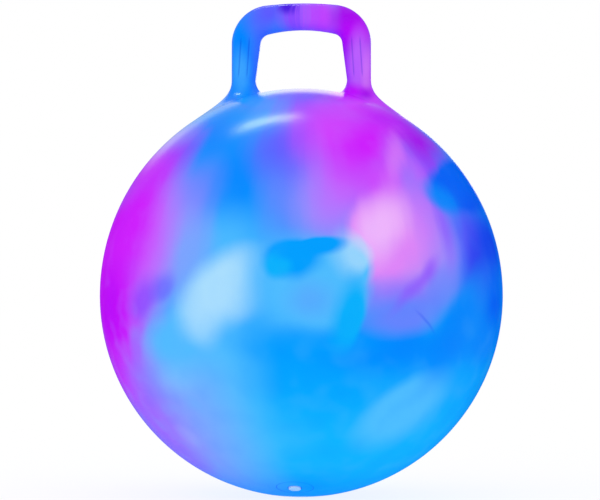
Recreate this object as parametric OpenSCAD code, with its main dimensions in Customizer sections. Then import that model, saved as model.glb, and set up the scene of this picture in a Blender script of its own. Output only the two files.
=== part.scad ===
// Hopper ball with a loop handle, in millimetres
// +Z is up and -Y is the front. The origin is on the floor, under the middle of the ball.
// The ball and its hollow loop leave the mould as one piece of soft vinyl. They are drawn as two
// pieces that meet at the root line, where the feet of the loop run out on the ball.

/* [Ball] */
// Width of the ball when it is pumped up
ball_d = 450; // [400:5:600]
// Thickness of the skin
skin_t = 1.1; // [0.8:0.1:2]
// How far the top stands above a true sphere
crown_rise = 6.1; // [3:0.1:12]
// How much smaller the radius of the top is than the radius of the ball
crown_less = 6; // [4:0.5:10]
// Radius of the flat spot that the ball rests on
contact_r = 24; // [15:1:32]

/* [Loop] */
// Height of the loop above the top of the ball
loop_h = 96.6; // [86:0.2:120]
// Width of the hand opening at its top
grip_w = 92; // [80:1:110]
// Thickness of the loop at its bends, seen from the front
loop_t = 32.4; // [28:0.2:36]
// Depth of the loop from front to back
loop_d = 28; // [24:1:34]
// Inner radius of the bends
bend_r = 11.2; // [8:0.2:16]
// How far the underside of the grip arches up between the bends
arch_rise = 4.1; // [2:0.1:6]
// How far the top of the grip arches up between the bends
top_rise = 1.8; // [1:0.1:3]
// Lean of the inner faces of the legs, in degrees
leg_lean = 7.5; // [0:0.5:9]
// Thickness of the wall of the loop
loop_wall = 3.5; // [2.5:0.1:4.5]
// Power of the rounded section, where 2 is an ellipse and more is squarer
section_power = 2.6; // [2:0.1:3.2]

/* [Flutes] */
// Depth of the shallow flutes down the faces of the legs
flute_t = 0.6; // [0.3:0.1:1]
// Width of a flute
flute_w = 2.6; // [2:0.1:3.4]
// Distance of a flute from the middle of the leg
flute_x = 4.7; // [4:0.1:6]
// Length over which a flute runs out at the foot of the leg
flute_fade = 8; // [5:0.5:12]
// Angle into the bend at which a flute has run out
flute_turn = 40; // [25:5:60]

/* [Feet] */
// Height above the top of the ball at which the legs begin to flare
flare_h = 10.2; // [8:0.2:14]
// Radius of the round outline where a foot runs out on the ball
foot_r = 46; // [42:1:52]
// How far the middle of that outline lies outside the middle of the leg
foot_out = 22; // [16:1:24]
// Thickness of the rim where a foot runs out
foot_rim = 0.6; // [0.4:0.1:1]
// Radius of the port through which the hollow of a leg opens into the ball
port_r = 22.5; // [20:0.5:24]
// How far the port lies outside the middle of the leg
port_out = 9.5; // [7:0.5:11]

/* [Valve seat] */
// Angle of the valve from the bottom of the ball towards the front
valve_turn = 22; // [18:1:40]
// Diameter of the face of the seat in the skin
seat_d = 40; // [32:1:46]
// Thickness of the seat under its face
seat_t = 3.2; // [2.8:0.1:4]
// How far the rim of the seat reaches behind the skin
seat_lap = 5; // [3:0.5:7]
// Outer diameter of the barrel inside the ball
barrel_d = 18; // [16:0.5:22]
// Depth of the barrel from the outside of the ball
barrel_l = 15; // [14:0.5:20]
// Bore that the plug fits
bore_d = 10; // [9:0.1:11]
// Diameter of the recess round the head of the plug
recess_d = 14.8; // [14.2:0.1:15.6]
// Depth of that recess
recess_t = 0.9; // [0.7:0.1:1.4]

/* [Plug] */
// Diameter of the head
head_d = 13.2; // [12.2:0.1:13.8]
// Thickness of the head
head_t = 2.3; // [2:0.1:3]
// Rounding of the edge of the head
head_round = 0.8; // [0.4:0.1:0.9]
// Diameter of the dimple in the head
dimple_d = 3.6; // [2.4:0.1:5]
// Depth of the dimple
dimple_t = 0.7; // [0.4:0.1:1]
// Length of the stem under the head
stem_l = 11; // [10:0.5:12]
// Width of a sealing ring on the stem
ring_w = 1.6; // [1.2:0.1:1.8]
// Number of sealing rings
rings = 3; // [2:1:3]
// Depth of the grooves between the sealing rings
ring_t = 0.5; // [0.3:0.1:0.8]
// Diameter of the nose at its tip
nose_d = 6.4; // [5.6:0.1:7]
// Diameter of the hollow in the stem
core_d = 4; // [3:0.1:4.6]

/* [Fits] */
// Gap between the feet of the loop and the ball
foot_gap = 0.15; // [0.12:0.01:0.3]
// Gap round the seat where the skin grips it
seat_gap = 0.05; // [0.03:0.01:0.1]
// Gap round the plug in its bore
plug_gap = 0.05; // [0.02:0.01:0.1]
// How far a cut runs past what it cuts
overrun = 2; // [1:0.5:4]

/* [Hidden] */
$fn = 180;

// The side of the ball above its widest line is an arc about a point beyond the axis, and the top
// is a smaller arc about a point on the axis. The two meet without a corner.
ball_r = ball_d / 2;
ball_z = sqrt(ball_r * ball_r - contact_r * contact_r);
cap_r = ball_r - crown_less;
cap_up = crown_rise + crown_less;
side_in = (cap_up * cap_up - crown_less * crown_less) / (2 * crown_less);
side_r = ball_r + side_in;
join_reach = norm([side_in, cap_up]);
crown_z = ball_z + ball_r + crown_rise;

// The loop stands in the XZ plane. Its bends turn about one point on each side.
bend_out = bend_r + loop_t;
bend_x = grip_w / 2 - bend_r;
bend_z = crown_z + loop_h - top_rise - bend_out;
arch_reach = (bend_x * bend_x + arch_rise * arch_rise) / (2 * arch_rise);
top_reach = (bend_x * bend_x + top_rise * top_rise) / (2 * top_rise);
root_z = crown_z + flare_h;
leg_out = bend_x + bend_out;
root_x = (leg_out + leg_in(root_z)) / 2;
root_a = (leg_out - leg_in(root_z)) / 2;
loop_b = loop_d / 2;

// Shares of a foot's drop and reach at which its curve leaves the leg and meets the ball
drop_share = 0.37;
reach_share = 0.64;

// Steps along each stretch of the loop, and points in a quarter of its section
flare_steps = 7;
leg_steps = 5;
bend_steps = 9;
bar_steps = 3;
pad_steps = 6;
side_steps = 6;

// Height of the ball's top half at a distance r from its axis, on a skin that lies off outside it
function ball_top(r, off) =
    ball_z + (r < (cap_r + off) * side_in / join_reach
        ? cap_up + sqrt((cap_r + off) * (cap_r + off) - r * r)
        : sqrt((side_r + off) * (side_r + off) - (r + side_in) * (r + side_in)));

// Slope of the ball's top half at that distance
function ball_slope(r) =
    r < cap_r * side_in / join_reach
        ? -r / (ball_top(r, 0) - ball_z - cap_up)
        : -(r + side_in) / (ball_top(r, 0) - ball_z);

// Distance of a leg's inner face from the middle plane, at height z
function leg_in(z) = bend_x + (bend_r - (z - bend_z) * sin(leg_lean)) / cos(leg_lean);

// Distance from a bend's centre to an arch that runs on from the bend's arc of radius r
function arch_at(turn, r, reach) =
    let (past = turn - acos(bend_x / reach))
    past <= 0 ? r : sqrt((reach + r) * (reach + r) - pow(reach * sin(past), 2)) - reach * cos(past);

// The same on the inside of the bend, where a leaning leg face comes before the arc
function bend_in(turn) =
    turn < leg_lean ? bend_r / cos(leg_lean - turn) : arch_at(turn, bend_r, arch_reach);

// Height of an arch over the grip at a distance x from the middle plane
function arch_z(x, r, reach, rise) = bend_z - reach + rise + sqrt(pow(reach + r, 2) - x * x);

// Radius of the loop's rounded section in one direction
function section_r(turn, a, b) =
    pow(pow(abs(cos(turn)) / a, section_power) + pow(abs(sin(turn)) / b, section_power),
        -1 / section_power);

// Directions of the points in a quarter of the section, each with its share of a flute's depth
function quarter(b) =
    let (edge = atan2(b, flute_x + flute_w / 2), inner = atan2(b, flute_x - flute_w / 2))
    concat([for (i = [0:side_steps]) [edge * i / side_steps, 0]],
           [[atan2(b, flute_x), 1], [inner, 0], [(inner + 90) / 2, 0], [90, 0]]);

function spots(b) =
    let (q = quarter(b), n = len(q) - 1)
    [for (k = [0:3], i = [0:n - 1])
        k % 2 == 0 ? [90 * k + q[i][0], q[i][1]] : [90 * (k + 1) - q[n - i][0], q[n - i][1]]];

// One ring of the loop, about the point c, with u pointing outwards in the plane of the loop
function ring(c, u, a, b, flute) =
    [for (s = spots(b))
        let (r = section_r(s[0], a, b) - flute * s[1])
        c + r * cos(s[0]) * u + [0, r * sin(s[0]), 0]];

function bend_ring(turn, inset, flute) =
    let (inside = bend_in(turn), outside = arch_at(turn, bend_out, top_reach),
         mid = (inside + outside) / 2, u = [cos(turn), 0, sin(turn)])
    ring([bend_x, 0, bend_z] + mid * u, u, (outside - inside) / 2 - inset, loop_b - inset, flute);

function leg_ring(z, inset, flute) =
    ring([(leg_out + leg_in(z)) / 2, 0, z], [1, 0, 0], (leg_out - leg_in(z)) / 2 - inset,
         loop_b - inset, flute);

function bar_ring(x, inset) =
    let (low = arch_z(x, bend_r, arch_reach, arch_rise),
         high = arch_z(x, bend_out, top_reach, top_rise))
    ring([x, 0, (low + high) / 2], [0, 0, 1], (high - low) / 2 - inset, loop_b - inset, 0);

// Distance from the leg's middle to a round outline whose centre lies out from it
function outline_r(turn, r, out) = out * cos(turn) + sqrt(r * r - pow(out * sin(turn), 2));

// A point on the ball in one direction from the leg's middle
function on_ball(turn, rho, off) =
    let (x = root_x + rho * cos(turn), y = rho * sin(turn))
    [x, y, ball_top(norm([x, y]), off)];

function bezier(p, t) =
    pow(1 - t, 3) * p[0] + 3 * t * pow(1 - t, 2) * p[1] + 3 * t * t * (1 - t) * p[2] + pow(t, 3) * p[3];

// One ring of a foot, where t runs from 0 at the leg to 1 on the ball. In each direction the foot
// leaves the leg straight down and meets the ball along its slope.
function flare_ring(t, inset, r, out, off) =
    [for (s = spots(loop_b - inset))
        let (turn = s[0],
             rho0 = section_r(turn, root_a - inset, loop_b - inset),
             rho3 = outline_r(turn, r, out),
             end = on_ball(turn, rho3, off),
             far = norm([end[0], end[1]]),
             slope = ball_slope(far) * (end[0] * cos(turn) + end[1] * sin(turn)) / far,
             back = reach_share * (rho3 - rho0),
             p = bezier([[rho0, root_z], [rho0, root_z - drop_share * (root_z - end[2])],
                         [rho3 - back, end[2] - back * slope], [rho3, end[2]]], t))
        [root_x + p[0] * cos(turn), p[0] * sin(turn), p[1]]];

// The flutes run out at the foot of the leg and in the bend
function leg_flute(z) = flute_t * min(1, (z - root_z) / flute_fade);
function bend_flute(turn) = flute_t * max(0, 1 - turn / flute_turn);

// Half of the loop's outside or hollow, from its foot up to the middle of the grip
function half_loop(inset, r, out, off, flutes) =
    concat([for (i = [flare_steps:-1:1]) flare_ring(i / flare_steps, inset, r, out, off)],
           [for (i = [0:leg_steps - 1])
               let (z = root_z + (bend_z - root_z) * i / leg_steps)
               leg_ring(z, inset, flutes * leg_flute(z))],
           [for (i = [0:bend_steps])
               let (turn = 90 * i / bend_steps)
               bend_ring(turn, inset, flutes * bend_flute(turn))],
           [for (i = [bar_steps - 1:-1:1]) bar_ring(bend_x * i / bar_steps, inset)]);

// The underside of a foot, from its rim to the port, close along the ball
function pad_rings() =
    [for (k = [0:pad_steps - 1])
        [for (s = spots(loop_b))
            let (rim = outline_r(s[0], foot_r, foot_out), port = outline_r(s[0], port_r, port_out))
            on_ball(s[0], rim + (port - rim) * k / pad_steps, foot_gap)]];

function reversed(list) = [for (i = [len(list) - 1:-1:0]) list[i]];
function mirrored(rings) = [for (ring = rings) [for (p = ring) [-p[0], p[1], p[2]]]];
function whole_loop(half, inset) = concat(half, [bar_ring(0, inset)], reversed(mirrored(half)));

// Outline of the right half of the ball, drawn in by inset
module ball_outline(inset) {
    far = ball_d;
    line = [0, cap_up] + far * [side_in, cap_up] / join_reach;
    difference() {
        translate([-side_in, 0]) circle(side_r - inset);
        translate([-far, -far]) square([far, 2 * far]);
        // Below the widest line the ball is round about its middle
        difference() {
            translate([0, -far]) square([far, far]);
            circle(ball_r - inset);
        }
        // The top is round about a higher point
        difference() {
            polygon([[0, cap_up], line, [0, line[1]]]);
            translate([0, cap_up]) circle(cap_r - inset);
        }
        translate([0, -far]) square([far, far - ball_z + inset]);
    }
}

// Places the valve's pieces, with z = 0 on the outside of the ball and +Z pointing out of it
module at_valve() {
    translate([0, 0, ball_z]) rotate([180 - valve_turn, 0, 0]) translate([0, 0, ball_r]) children();
}

module ball_skin() {
    color("dodgerblue")
    difference() {
        translate([0, 0, ball_z]) rotate_extrude() difference() {
            ball_outline(0);
            ball_outline(skin_t);
        }
        for (side = [-1, 1])
            translate([side * (root_x + port_out), 0, ball_z]) cylinder(r = port_r, h = ball_r + loop_h);
        at_valve() translate([0, 0, -seat_d / 2])
            cylinder(d = seat_d + 2 * seat_gap, h = seat_d / 2 + overrun);
    }
}

module handle_loop() {
    outside = whole_loop(half_loop(0, foot_r, foot_out, foot_gap + foot_rim, 1), 0);
    hollow = whole_loop(half_loop(loop_wall, port_r, port_out, foot_gap, 0), loop_wall);
    pad = pad_rings();
    rings = concat(outside, mirrored(pad), reversed(hollow), reversed(pad));
    n = len(rings[0]);
    m = len(rings);
    color("blueviolet")
    polyhedron(
        points = [for (r = rings) each r],
        faces = [for (k = [0:m - 1], i = [0:n - 1])
            let (a = k * n, b = (k + 1) % m * n, j = (i + 1) % n)
            each [[a + i, b + i, b + j], [a + i, b + j, a + j]]]);
}

// The seat is a disc moulded into the skin, with a barrel that points into the ball
module valve_seat() {
    face_r = seat_d / 2;
    color("deepskyblue")
    at_valve() rotate_extrude() difference() {
        union() {
            intersection() {
                translate([0, -ball_r]) circle(ball_r);
                translate([0, -barrel_l]) square([face_r, barrel_l]);
                difference() {
                    translate([0, -seat_t - face_r]) square([face_r, seat_t + face_r]);
                    translate([0, -ball_r]) circle(ball_r - seat_t);
                }
            }
            // Rim behind the skin
            intersection() {
                difference() {
                    translate([0, -ball_r]) circle(ball_r - skin_t - seat_gap);
                    translate([0, -ball_r]) circle(ball_r - seat_t);
                }
                translate([0, -barrel_l]) square([face_r + seat_lap, barrel_l]);
            }
            translate([0, -barrel_l]) square([barrel_d / 2, barrel_l - seat_t]);
        }
        translate([0, -barrel_l - overrun]) square([bore_d / 2, barrel_l + 2 * overrun]);
        translate([0, -recess_t]) square([recess_d / 2, recess_t + overrun]);
    }
}

// The plug's head sits on the floor of the recess, and its ringed stem seals the bore
module valve_plug() {
    stem_r = bore_d / 2 - plug_gap;
    core_l = stem_l - ring_w;
    pitch = (stem_l - ring_w) / (rings + 1);
    color("white")
    at_valve() translate([0, 0, -recess_t]) rotate_extrude() difference() {
        union() {
            square([head_d / 2 - head_round, head_t]);
            square([head_d / 2, head_t - head_round]);
            translate([head_d / 2 - head_round, head_t - head_round]) circle(head_round);
            translate([0, -stem_l]) square([stem_r - ring_t, stem_l]);
            for (i = [0:rings - 1])
                translate([0, -ring_w - pitch * i]) square([stem_r, ring_w]);
        }
        translate([0, head_t - dimple_t]) square([dimple_d / 2, dimple_t + overrun]);
        // Taper of the nose
        polygon([[nose_d / 2, -stem_l - overrun], [nose_d / 2, -stem_l],
                 [stem_r, -stem_l + pitch - ring_w], [stem_r + overrun, -stem_l + pitch - ring_w],
                 [stem_r + overrun, -stem_l - overrun]]);
        translate([0, -stem_l - overrun]) square([core_d / 2, core_l + overrun]);
    }
}

ball_skin();
handle_loop();
valve_seat();
valve_plug();
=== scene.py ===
"""Looks of a hopper ball with a loop handle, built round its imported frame.

Lengths are in metres. +Z is up, -Y is the front, and the origin is on the floor under the ball.
"""
import math

import bmesh
import bpy
import numpy as np
from mathutils import Matrix, Vector


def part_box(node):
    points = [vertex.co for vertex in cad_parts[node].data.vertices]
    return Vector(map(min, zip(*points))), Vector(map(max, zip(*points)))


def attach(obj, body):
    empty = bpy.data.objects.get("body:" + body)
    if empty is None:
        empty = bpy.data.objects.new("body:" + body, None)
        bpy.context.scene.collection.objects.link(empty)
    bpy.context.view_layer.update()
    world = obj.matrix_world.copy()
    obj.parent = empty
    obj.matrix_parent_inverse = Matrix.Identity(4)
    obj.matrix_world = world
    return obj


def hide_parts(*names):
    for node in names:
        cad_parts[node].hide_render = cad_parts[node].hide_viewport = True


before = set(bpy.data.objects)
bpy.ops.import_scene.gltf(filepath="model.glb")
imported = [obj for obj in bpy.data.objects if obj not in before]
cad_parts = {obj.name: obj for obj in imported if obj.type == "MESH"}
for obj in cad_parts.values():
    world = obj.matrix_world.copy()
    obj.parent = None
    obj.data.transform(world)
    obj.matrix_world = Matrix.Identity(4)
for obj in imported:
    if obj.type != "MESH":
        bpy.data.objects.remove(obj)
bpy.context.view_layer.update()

MM = 0.001

# How near points are merged, and the steps of a fillet
MERGE_WITHIN = 0.001 * MM
FILLET_STEPS = 6

# The photograph's frame in pixels, where its camera stood, and where the ball's middle lies in it
PHOTO_W = 600
PHOTO_H = 500
FOCAL_PX = 2229.8
BALL_PX = (301.3, 295.2)
CAMERA_REACH = 2.5
CAMERA_TURN = math.radians(4.8)
SENSOR = 36

# The ball: a sphere below its widest line, and above it a side arc and a smaller crown arc
skin_low, skin_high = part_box("ball_skin")
BALL_R = round((skin_high.x - skin_low.x) / MM) * MM / 2
SKIN_T = 1.1 * MM
CROWN_LESS = 6 * MM
CONTACT_R = 24 * MM
BALL_Z = math.sqrt(BALL_R**2 - CONTACT_R**2)
BALL_MIDDLE = Vector((0, 0, BALL_Z))
CROWN_Z = skin_high.z
CROWN_RISE = CROWN_Z - BALL_Z - BALL_R
CAP_R = BALL_R - CROWN_LESS
CAP_UP = CROWN_RISE + CROWN_LESS
SIDE_IN = (CAP_UP**2 - CROWN_LESS**2) / (2 * CROWN_LESS)
SIDE_R = BALL_R + SIDE_IN
JOIN_TURN = math.atan2(CAP_UP, SIDE_IN)
BALL_SEGMENTS = 288
BALL_STEPS = 150
CUTTER_SEGMENTS = 192

# The least radius for a direction, and the cosine within which a face follows the skin
LEAST_R = 1e-9
ALONG_SKIN = 0.8

# The loop, whose bends turn about one point on each side
LOOP_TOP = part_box("handle_loop")[1].z
GRIP_W = 92 * MM
LOOP_T = 32.4 * MM
LOOP_D = 28 * MM
BEND_R = 11.2 * MM
ARCH_RISE = 4.1 * MM
TOP_RISE = 1.8 * MM
LEG_LEAN = math.radians(7.5)
LOOP_WALL = 3.5 * MM
SECTION_POWER = 2.6
BEND_OUT = BEND_R + LOOP_T
BEND_X = GRIP_W / 2 - BEND_R
BEND_Z = LOOP_TOP - TOP_RISE - BEND_OUT
ARCH_REACH = (BEND_X**2 + ARCH_RISE**2) / (2 * ARCH_RISE)
TOP_REACH = (BEND_X**2 + TOP_RISE**2) / (2 * TOP_RISE)
LEG_OUT = BEND_X + BEND_OUT
LOOP_B = LOOP_D / 2

# Shallow flutes down the faces of the legs
FLUTE_T = 0.6 * MM
FLUTE_W = 2.6 * MM
FLUTE_X = 4.7 * MM
FLUTE_FADE = 8 * MM
FLUTE_TURN = math.radians(48)
FLUTE_FACE = 0.5

# The feet flare out until they lie on the ball. They end just under its skin, so that no rim shows.
FLARE_H = 10.2 * MM
FOOT_R = 46 * MM
FOOT_OUT = 22 * MM
FOOT_SUNK = 0.04 * MM
PAD_SUNK = 0.3 * MM
PORT_R = 22.5 * MM
PORT_OUT = 9.5 * MM
DROP_SHARE = 0.37
REACH_SHARE = 0.64
ROOT_Z = CROWN_Z + FLARE_H
LOOP_POINTS = 224
FLARE_STEPS = 30
LEG_STEPS = 20
BEND_STEPS = 40
BAR_STEPS = 14
PAD_STEPS = 10

# The feet are shaded with the ball's slope up to the first height over its skin, and less over the next
ROOT_NEAR = 0.05 * MM
ROOT_FADE = 1.2 * MM

# The valve, whose own frame has z = 0 on the outside of the ball and +Z pointing out of it
VALVE_TURN = math.radians(22)
SEAT_R = 20 * MM
SEAT_GAP = 0.05 * MM
SEAT_T = 3.2 * MM
SEAT_LAP = 5 * MM
BARREL_R = 9 * MM
BARREL_L = 15 * MM
BORE_R = 5 * MM
RECESS_R = 7.4 * MM
RECESS_T = 0.9 * MM
HEAD_R = 6.6 * MM
HEAD_T = 2.3 * MM
DIMPLE_R = 1.8 * MM
DIMPLE_T = 0.7 * MM
STEM_L = 11 * MM
STEM_GAP = 0.05 * MM
STEM_R = BORE_R - STEM_GAP
RING_W = 1.6 * MM
RING_T = 0.5 * MM
RINGS = 3
NOSE_R = 3.2 * MM
CORE_R = 2 * MM
VALVE_SEGMENTS = 128
DOME_STEPS = 8
REAL_EDGE = math.radians(40)
VALVE = (Matrix.Translation(BALL_MIDDLE)
         @ Matrix.Rotation(math.pi - VALVE_TURN, 4, "X")
         @ Matrix.Translation((0, 0, BALL_R)))

# The fillets of the seat and of the plug, and the slope round the plug's dimple
RECESS_FILLET = 0.35 * MM
SEAT_FILLET = 0.5 * MM
LAP_FILLET = 0.2 * MM
STEM_FILLET = 0.3 * MM
NOSE_FILLET = 0.2 * MM
GROOVE_FILLET = 0.1 * MM
UNDER_FILLET = 0.25 * MM
HEAD_FILLET = 0.8 * MM
RIM_FILLET = 0.4 * MM
DIMPLE_FILLET = 0.5 * MM
DIMPLE_SLOPE = 0.5 * MM
DIMPLE_RISE = 0.1 * MM


def smoothstep(x):
    x = np.clip(x, 0, 1)
    return x * x * (3 - 2 * x)


def piece_from(name, verts, faces):
    """A mesh object at the origin, shaded smooth."""
    mesh = bpy.data.meshes.new(name)
    mesh.from_pydata([tuple(v) for v in verts], [], faces)
    mesh.update()
    for polygon in mesh.polygons:
        polygon.use_smooth = True
    piece = bpy.data.objects.new(name, mesh)
    bpy.context.scene.collection.objects.link(piece)
    return piece


def revolved(profile, segments):
    """Vertices and faces of a profile of (r, z) turned about Z. A profile that isn't closed starts and ends
    on the axis, and is listed from the bottom up, so that the faces point outwards."""
    ends_on_axis = profile[0][0] == 0
    verts = []
    for r, z in profile:
        for k in range(segments):
            turn = 2 * math.pi * k / segments
            verts.append((r * math.cos(turn), r * math.sin(turn), z))
    faces = []
    rows = len(profile) - 1 if ends_on_axis else len(profile)
    for i in range(rows):
        low = i * segments
        high = (i + 1) % len(profile) * segments
        for k in range(segments):
            j = (k + 1) % segments
            if ends_on_axis and i == 0:
                faces.append((low, high + j, high + k))
            elif ends_on_axis and i == rows - 1:
                faces.append((low + k, low + j, high))
            else:
                faces.append((low + k, low + j, high + j, high + k))
    return verts, faces


def rounded(corners):
    """Points of a closed or open profile of (r, z, fillet) corners, with each fillet as an arc."""
    points = []
    for i, (r, z, fillet) in enumerate(corners):
        here = Vector((r, z))
        if not fillet:
            points.append((r, z))
            continue
        before = Vector(corners[i - 1][:2]) - here
        after = Vector(corners[(i + 1) % len(corners)][:2]) - here
        half = before.angle(after) / 2
        back = fillet / math.tan(half)
        start = here + before.normalized() * back
        end = here + after.normalized() * back
        middle = here + (before.normalized() + after.normalized()).normalized() * fillet / math.sin(half)
        spread = (start - middle).angle(end - middle)
        for k in range(FILLET_STEPS + 1):
            share = k / FILLET_STEPS
            a = math.sin((1 - share) * spread) / math.sin(spread)
            b = math.sin(share * spread) / math.sin(spread)
            p = middle + (start - middle) * a + (end - middle) * b
            points.append((p.x, p.y))
    return points


def merge_close(mesh, outwards=False):
    """Merges points that lie together, drops loose ones, and may turn the faces outwards."""
    made = bmesh.new()
    made.from_mesh(mesh)
    bmesh.ops.remove_doubles(made, verts=made.verts, dist=MERGE_WITHIN)
    bmesh.ops.delete(made, geom=[v for v in made.verts if not v.link_faces], context="VERTS")
    if outwards:
        bmesh.ops.recalc_face_normals(made, faces=made.faces)
    made.to_mesh(mesh)
    made.free()


def tidy(piece, sharp_angle=None):
    """Merges the points on the axis, makes the faces point outwards and keeps real edges sharp."""
    merge_close(piece.data, True)
    if sharp_angle:
        piece.data.set_sharp_from_angle(angle=sharp_angle)


def ball_profile(inset):
    """The ball's outline from its flat spot to its crown, drawn in by inset."""
    flat = CONTACT_R - inset
    points = [(0, inset), (flat / 2, inset)]
    low = -math.acos(CONTACT_R / BALL_R)
    for i in range(BALL_STEPS + 1):
        turn = low + (math.pi / 2 - low) * i / BALL_STEPS
        middle_r, middle_z, r = (0, 0, BALL_R)
        if turn > JOIN_TURN:
            middle_r, middle_z, r = (0, CAP_UP, CAP_R)
        elif turn > 0:
            middle_r, middle_z, r = (-SIDE_IN, 0, SIDE_R)
        out = middle_r + (r - inset) * math.cos(turn)
        up = BALL_Z + middle_z + (r - inset) * math.sin(turn)
        points.append((out if i < BALL_STEPS else 0, max(up, inset)))
    return points


def ball_normals(points):
    """Directions straight out of the ball's skin at an array of points."""
    r = np.hypot(points[:, 0], points[:, 1])
    up = points[:, 2] - BALL_Z
    on_side = (up > 0) & (np.arctan2(up, r + SIDE_IN) < JOIN_TURN)
    on_cap = (up > 0) & ~on_side
    out = r + np.where(on_side, SIDE_IN, 0)
    up = up - np.where(on_cap, CAP_UP, 0)
    size = np.hypot(out, up)
    safe = np.maximum(r, LEAST_R)
    return np.stack([points[:, 0] / safe * out / size, points[:, 1] / safe * out / size, up / size], 1)


def cylinder_between(name, matrix, radius, low, high):
    """A closed cylinder about the Z axis of matrix."""
    verts, faces = revolved([(0, low), (radius, low), (radius, high), (0, high)], CUTTER_SEGMENTS)
    piece = piece_from(name, [matrix @ Vector(v) for v in verts], faces)
    tidy(piece)
    return piece


def cut(piece, cutters):
    """Cuts closed pieces out of a piece and deletes them."""
    for cutter in cutters:
        modifier = piece.modifiers.new("cut", "BOOLEAN")
        modifier.operation = "DIFFERENCE"
        modifier.solver = "EXACT"
        modifier.object = cutter
    graph = bpy.context.evaluated_depsgraph_get()
    mesh = bpy.data.meshes.new_from_object(piece.evaluated_get(graph))
    merge_close(mesh)
    piece.modifiers.clear()
    piece.data = mesh
    for cutter in cutters:
        bpy.data.objects.remove(cutter)


def mesh_points(mesh):
    flat = np.zeros(len(mesh.vertices) * 3)
    mesh.vertices.foreach_get("co", flat)
    return flat.reshape(-1, 3)


def make_ball():
    """The skin with its hole for the valve and its ports into the loop, shaded with its own slope."""
    outer, outer_faces = revolved(ball_profile(0), BALL_SEGMENTS)
    inner, inner_faces = revolved(ball_profile(SKIN_T), BALL_SEGMENTS)
    count = len(outer)
    faces = outer_faces + [tuple(count + v for v in reversed(face)) for face in inner_faces]
    ball = piece_from("marbled_ball", outer + inner, faces)
    merge_close(ball.data)
    ports = [
        cylinder_between("port", Matrix.Translation((side * (root_x() + PORT_OUT), 0, BALL_Z)), PORT_R,
                         BALL_R / 2, BALL_R + FOOT_R)
        for side in (-1, 1)
    ]
    hole = cylinder_between("hole", VALVE, SEAT_R + SEAT_GAP, -SEAT_R, SEAT_R)
    cut(ball, [*ports, hole])
    mesh = ball.data
    points = mesh_points(mesh)
    normals = ball_normals(points)
    custom = np.zeros((len(mesh.loops), 3))
    for polygon in mesh.polygons:
        polygon.use_smooth = True
        loops = range(polygon.loop_start, polygon.loop_start + polygon.loop_total)
        corners = [mesh.loops[i].vertex_index for i in loops]
        straight = np.array(polygon.normal)
        facing = float(straight @ normals[corners].mean(0))
        flat_spot = points[corners, 2].max() < 2 * SKIN_T
        for i, corner in zip(loops, corners):
            if flat_spot or abs(facing) < ALONG_SKIN:
                custom[i] = straight
            else:
                custom[i] = normals[corner] * math.copysign(1, facing)
    mesh.normals_split_custom_set(custom.tolist())
    return ball


def leg_in(z):
    """Distance of a leg's inner face from the middle plane."""
    return BEND_X + (BEND_R - (z - BEND_Z) * math.sin(LEG_LEAN)) / math.cos(LEG_LEAN)


def root_x():
    return (LEG_OUT + leg_in(ROOT_Z)) / 2


def root_a():
    return (LEG_OUT - leg_in(ROOT_Z)) / 2


def arch_at(turn, r, reach):
    """Distance from a bend's centre to an arch that runs on from the bend's arc of radius r."""
    past = turn - math.acos(BEND_X / reach)
    if past <= 0:
        return r
    return math.sqrt((reach + r)**2 - (reach * math.sin(past))**2) - reach * math.cos(past)


def bend_in(turn):
    if turn < LEG_LEAN:
        return BEND_R / math.cos(LEG_LEAN - turn)
    return arch_at(turn, BEND_R, ARCH_REACH)


def arch_z(x, r, reach, rise):
    return BEND_Z - reach + rise + math.sqrt((reach + r)**2 - x * x)


TURNS = np.arange(LOOP_POINTS) * 2 * math.pi / LOOP_POINTS


def section_r(a, b):
    """Radius of the loop's rounded section in each direction."""
    return ((np.abs(np.cos(TURNS)) / a)**SECTION_POWER
            + (np.abs(np.sin(TURNS)) / b)**SECTION_POWER)**(-1 / SECTION_POWER)


def ring(middle, out, a, b, flute):
    """One ring of the loop, with out pointing outwards in the plane of the loop."""
    r = section_r(a, b)
    across = r * np.cos(TURNS)
    dips = sum(np.exp(-((across - side * FLUTE_X) / (FLUTE_W / 2))**2) for side in (-1, 1))
    r = r - flute * dips * (np.abs(np.sin(TURNS)) > FLUTE_FACE)
    return (np.array(middle)[None] + (r * np.cos(TURNS))[:, None] * np.array(out)[None]
            + (r * np.sin(TURNS))[:, None] * np.array([0, 1, 0])[None])


def bend_ring(turn, inset, flute):
    inside = bend_in(turn)
    outside = arch_at(turn, BEND_OUT, TOP_REACH)
    out = (math.cos(turn), 0, math.sin(turn))
    middle = (BEND_X + (inside + outside) / 2 * out[0], 0, BEND_Z + (inside + outside) / 2 * out[2])
    return ring(middle, out, (outside - inside) / 2 - inset, LOOP_B - inset, flute)


def leg_ring(z, inset, flute):
    inside = leg_in(z)
    return ring(((LEG_OUT + inside) / 2, 0, z), (1, 0, 0), (LEG_OUT - inside) / 2 - inset,
                LOOP_B - inset, flute)


def bar_ring(x, inset):
    low = arch_z(x, BEND_R, ARCH_REACH, ARCH_RISE)
    high = arch_z(x, BEND_OUT, TOP_REACH, TOP_RISE)
    return ring((x, 0, (low + high) / 2), (0, 0, 1), (high - low) / 2 - inset, LOOP_B - inset, 0)


def outline_r(r, out):
    """Distance from the leg's middle to a round outline whose centre lies out from it."""
    return out * np.cos(TURNS) + np.sqrt(r * r - (out * np.sin(TURNS))**2)


def ball_top(r, off):
    """Height of the ball's top half at a distance r from its axis, on a skin that lies off outside it."""
    cap = CAP_UP + np.sqrt(np.maximum((CAP_R + off)**2 - r**2, 0))
    side = np.sqrt((SIDE_R + off)**2 - (r + SIDE_IN)**2)
    return BALL_Z + np.where(r < (CAP_R + off) * math.cos(JOIN_TURN), cap, side)


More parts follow.
